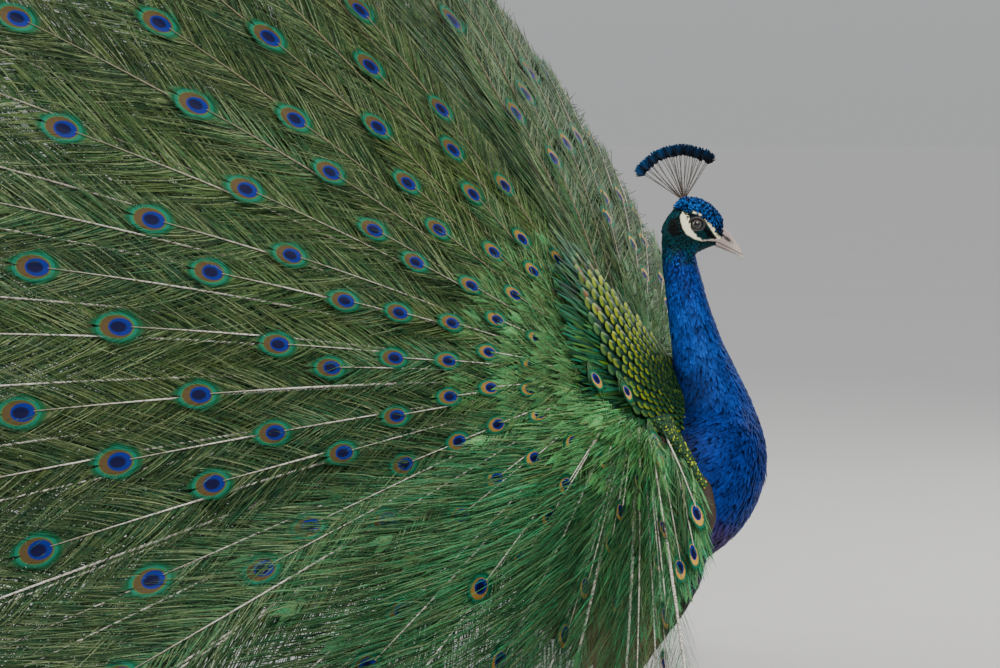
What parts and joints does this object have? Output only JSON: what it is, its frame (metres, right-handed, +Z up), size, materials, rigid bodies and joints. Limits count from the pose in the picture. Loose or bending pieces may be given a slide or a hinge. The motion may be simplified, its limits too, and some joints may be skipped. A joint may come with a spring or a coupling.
{
  "type": "peacock",
  "caption": "Life-size peacock standing in full display, train raised and spread behind it in a wide fan, head in profile, feet flat on the floor.",
  "frame": {"origin": "on the floor, under the middle of the bounding box", "axes": "+X the way the breast faces, +Y to the bird's left, across the spread train, +Z up"},
  "size_m": [1.5244, 2.0608, 1.48],
  "materials": {
    "body_blue": "close, silky blue feathers with a violet and teal sheen",
    "face": "small dark teal and blue feathers with bare cream skin round the eye",
    "bill": "smooth horn, pinkish grey",
    "eye": "moist dark brown eye",
    "crest": "bare brown shafts with blue-green fan tips",
    "scale_gold": "scale-like feathers, bronze green edged with gold",
    "train_green": "loose green barbs on white shafts, with blue, copper and gold eyespots",
    "tail_brown": "plain grey-brown tail feathers",
    "wing_rufous": "rufous flight feathers with barred buff and black coverts",
    "down": "dark grey-brown down",
    "leg": "horny grey-brown scutes"
  },
  "bodies": {
    "root": {"torso": "body_blue", "neck": "body_blue", "head": "face", "bill_upper": "bill", "bill_lower": "bill", "eye_left": "eye", "eye_right": "eye", "crest": "crest", "mantle": "scale_gold", "train_right_upper": "train_green", "train_right_side": "train_green", "train_right_lower": "train_green", "train_left_upper": "train_green", "train_left_side": "train_green", "train_left_lower": "train_green", "tail": "tail_brown", "wing_left": "wing_rufous", "wing_right": "wing_rufous", "thigh_left": "down", "thigh_right": "down", "leg_left": "leg", "leg_right": "leg"}
  },
  "joints": []
}
